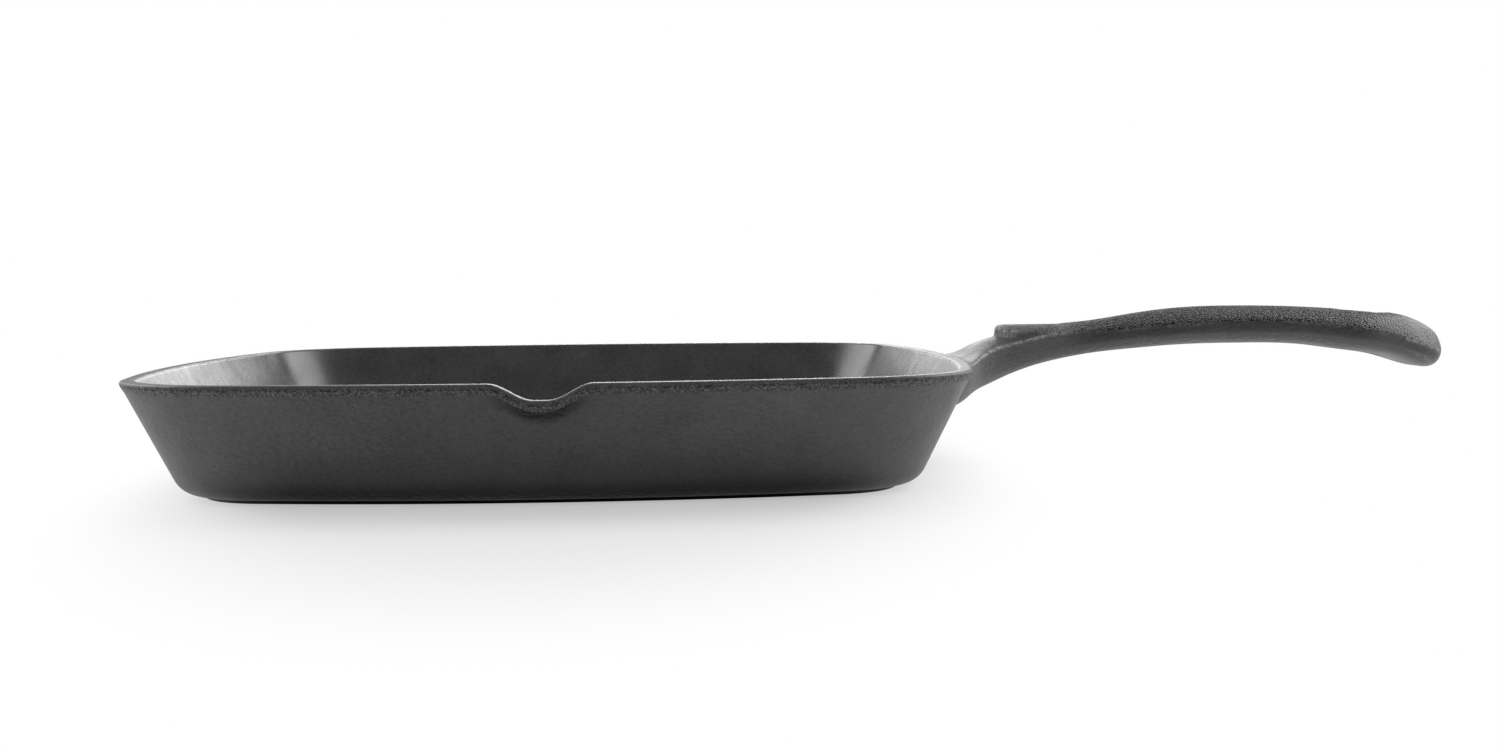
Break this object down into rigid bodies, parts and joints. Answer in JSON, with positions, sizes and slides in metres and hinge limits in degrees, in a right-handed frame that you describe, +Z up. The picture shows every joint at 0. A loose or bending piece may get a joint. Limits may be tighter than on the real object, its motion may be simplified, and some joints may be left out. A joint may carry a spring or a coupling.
{
  "type": "grill pan",
  "caption": "Square cast-iron grill pan with a ribbed floor, flared bowed sides, a pouring lip and a crowned handle with a thumb rest and a hanging hole.",
  "frame": {"origin": "centre of the flat face that the pan rests on", "axes": "+X runs out along the handle, -Y faces the pouring lip, +Z is up"},
  "size_m": [0.4392, 0.2661, 0.0514],
  "materials": {
    "cast_iron": "fine pebbled satin black"
  },
  "bodies": {
    "root": {"base_foot": "cast_iron", "pan_floor": "cast_iron", "pan_wall": "cast_iron", "rim_band": "cast_iron", "pouring_lip": "cast_iron", "grill_ribs": "cast_iron", "handle_root": "cast_iron", "thumb_rest": "cast_iron", "handle_grip": "cast_iron"}
  },
  "joints": []
}
